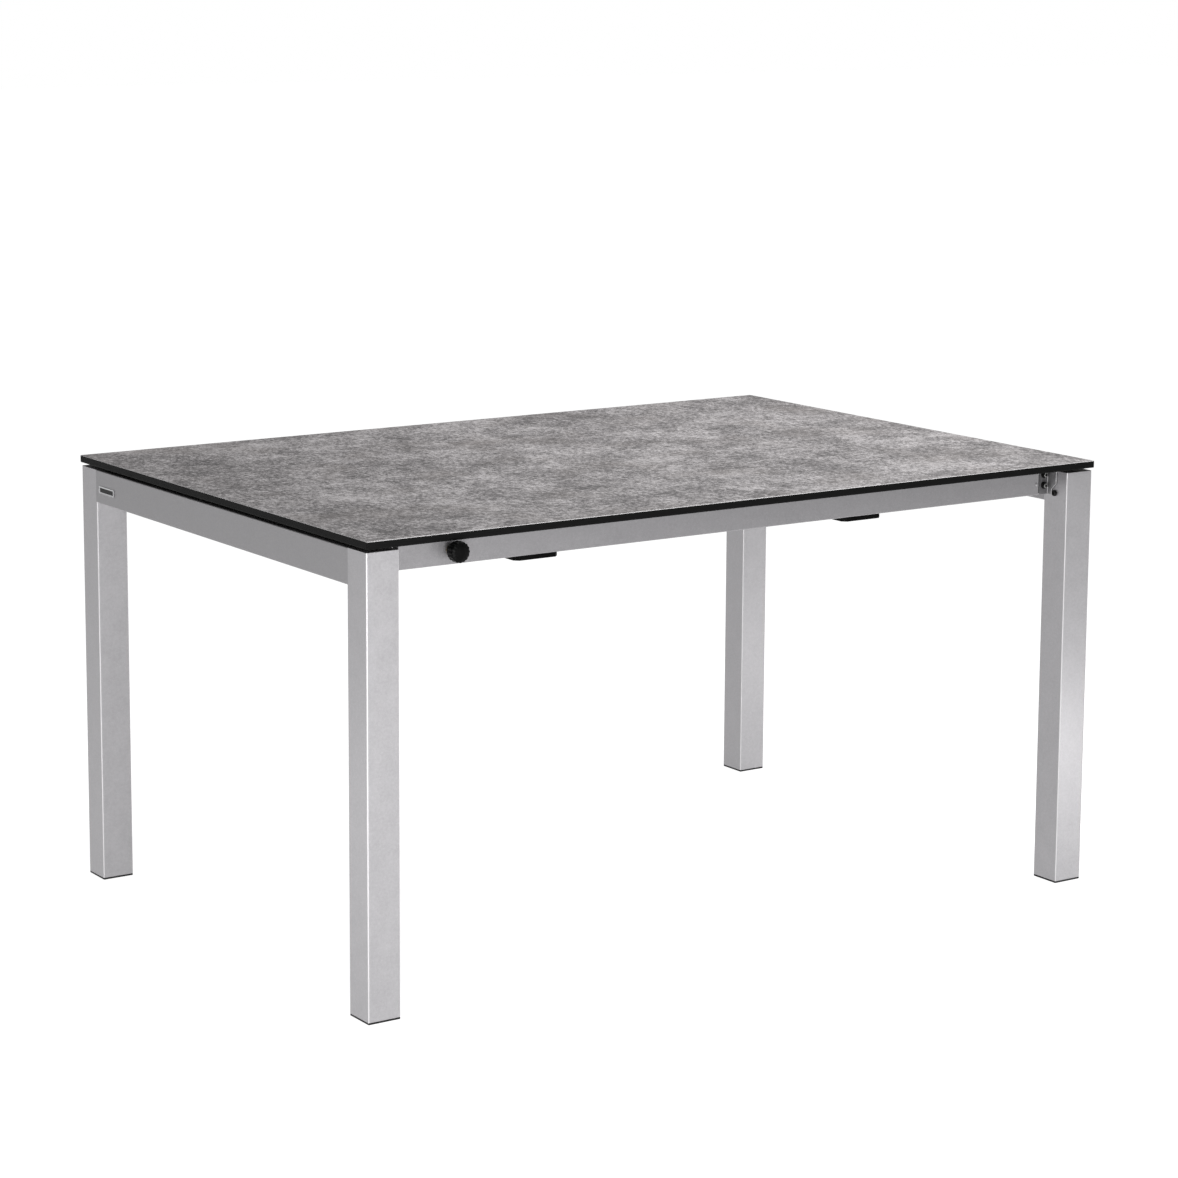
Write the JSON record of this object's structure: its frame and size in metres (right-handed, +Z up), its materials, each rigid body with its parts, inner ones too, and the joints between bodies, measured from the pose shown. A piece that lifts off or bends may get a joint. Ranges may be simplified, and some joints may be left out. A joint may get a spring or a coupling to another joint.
{
  "type": "extendable dining table",
  "caption": "Rectangular dining table with a thin stone-look slab on square metal legs, a pull-out end frame on telescoping rails, clamp knobs and a leaf stored under the top.",
  "frame": {"origin": "on the floor, under the middle of the closed table", "axes": "+X along the table, the way the end frame pulls out; +Y across it towards the far long side; +Z up"},
  "size_m": [1.4, 0.996, 0.72],
  "materials": {
    "stone_laminate": "matt high-pressure laminate with a mottled grey stone print and a near-black core at its edges",
    "coated_aluminium": "silver powder coat with a fine metallic sparkle",
    "bracket_aluminium": "plain satin aluminium",
    "black_plastic": "black moulded plastic, lightly textured",
    "knob_plastic": "black moulded grip plastic with a soft shine",
    "black_coated_steel": "black powder coat",
    "black_fastener": "black oxide",
    "zinc_plated_steel": "bright zinc plate",
    "brass": "machined brass",
    "plate_aluminium": "fine brushed, blank"
  },
  "bodies": {
    "fixed_frame": {"tabletop": "stone_laminate", "end_rail_left": "coated_aluminium", "blank_plate": "plate_aluminium", "leg_left_near": "coated_aluminium", "leg_left_far": "coated_aluminium", "foot_left_near": "black_plastic", "foot_left_far": "black_plastic", "side_rail_near": "coated_aluminium", "side_rail_far": "coated_aluminium", "rail_guide_near": "black_plastic", "rail_guide_far": "black_plastic", "clamp_bush_near": "brass", "clamp_bush_far": "brass", "leaf_carrier_left": "black_coated_steel", "leaf_carrier_right": "black_coated_steel", "carrier_screw_left_near": "zinc_plated_steel", "carrier_screw_left_far": "zinc_plated_steel", "carrier_screw_right_near": "zinc_plated_steel", "carrier_screw_right_far": "zinc_plated_steel", "top_screw_left_near": "zinc_plated_steel", "top_screw_left_far": "zinc_plated_steel", "top_screw_right_near": "zinc_plated_steel", "top_screw_right_far": "zinc_plated_steel"},
    "pull_out_frame": {"end_rail_right": "coated_aluminium", "leg_right_near": "coated_aluminium", "leg_right_far": "coated_aluminium", "foot_right_near": "black_plastic", "foot_right_far": "black_plastic", "inner_rail_near": "coated_aluminium", "inner_rail_far": "coated_aluminium", "rail_plug_near": "black_plastic", "rail_plug_far": "black_plastic", "corner_bracket_near": "bracket_aluminium", "corner_bracket_far": "bracket_aluminium", "leg_bolt_near": "black_fastener", "leg_bolt_far": "black_fastener", "rest_pad_near": "black_plastic", "rest_pad_far": "black_plastic", "bracket_screw_lower_near": "zinc_plated_steel", "bracket_screw_lower_far": "zinc_plated_steel", "bracket_screw_upper_near": "zinc_plated_steel", "bracket_screw_upper_far": "zinc_plated_steel", "washer_lower_near": "black_plastic", "washer_lower_far": "black_plastic", "washer_upper_near": "black_plastic", "washer_upper_far": "black_plastic", "glide_rear_near": "black_plastic", "glide_rear_far": "black_plastic", "glide_front_near": "black_plastic", "glide_front_far": "black_plastic"},
    "stored_leaf": {"extension_leaf": "stone_laminate", "leaf_pin_near": "zinc_plated_steel", "leaf_pin_far": "zinc_plated_steel"},
    "clamp_pad_near_body": {"clamp_pad_near": "black_plastic"},
    "clamp_knob_near_body": {"clamp_knob_near": "knob_plastic", "clamp_stud_near": "zinc_plated_steel"},
    "clamp_pad_far_body": {"clamp_pad_far": "black_plastic"},
    "clamp_knob_far_body": {"clamp_knob_far": "knob_plastic", "clamp_stud_far": "zinc_plated_steel"}
  },
  "joints": [
    {"name": "pull_out", "type": "slide", "parent": "fixed_frame", "child": "pull_out_frame", "axis": [1, 0, 0], "range_m": [0, 0.6]},
    {"name": "leaf_slide", "type": "slide", "parent": "fixed_frame", "child": "stored_leaf", "axis": [1, 0, 0], "range_m": [-0.06, 0.12]},
    {"name": "clamp_near_travel", "type": "slide", "parent": "fixed_frame", "child": "clamp_pad_near_body", "axis": [0, -1, 0], "range_m": [0, 0.0025]},
    {"name": "clamp_near_turn", "type": "hinge", "parent": "clamp_pad_near_body", "child": "clamp_knob_near_body", "pos_m": [-0.555, -0.4675, 0.6935], "axis": [0, -1, 0], "range_deg": [0, 720]},
    {"name": "clamp_far_travel", "type": "slide", "parent": "fixed_frame", "child": "clamp_pad_far_body", "axis": [0, 1, 0], "range_m": [0, 0.0025]},
    {"name": "clamp_far_turn", "type": "hinge", "parent": "clamp_pad_far_body", "child": "clamp_knob_far_body", "pos_m": [-0.555, 0.4675, 0.6935], "axis": [0, 1, 0], "range_deg": [0, 720]}
  ],
  "couplings": [
    {"joint": "clamp_near_turn", "follows": "clamp_near_travel", "rad_per_m": 5026.5},
    {"joint": "clamp_far_turn", "follows": "clamp_far_travel", "rad_per_m": 5026.5}
  ]
}
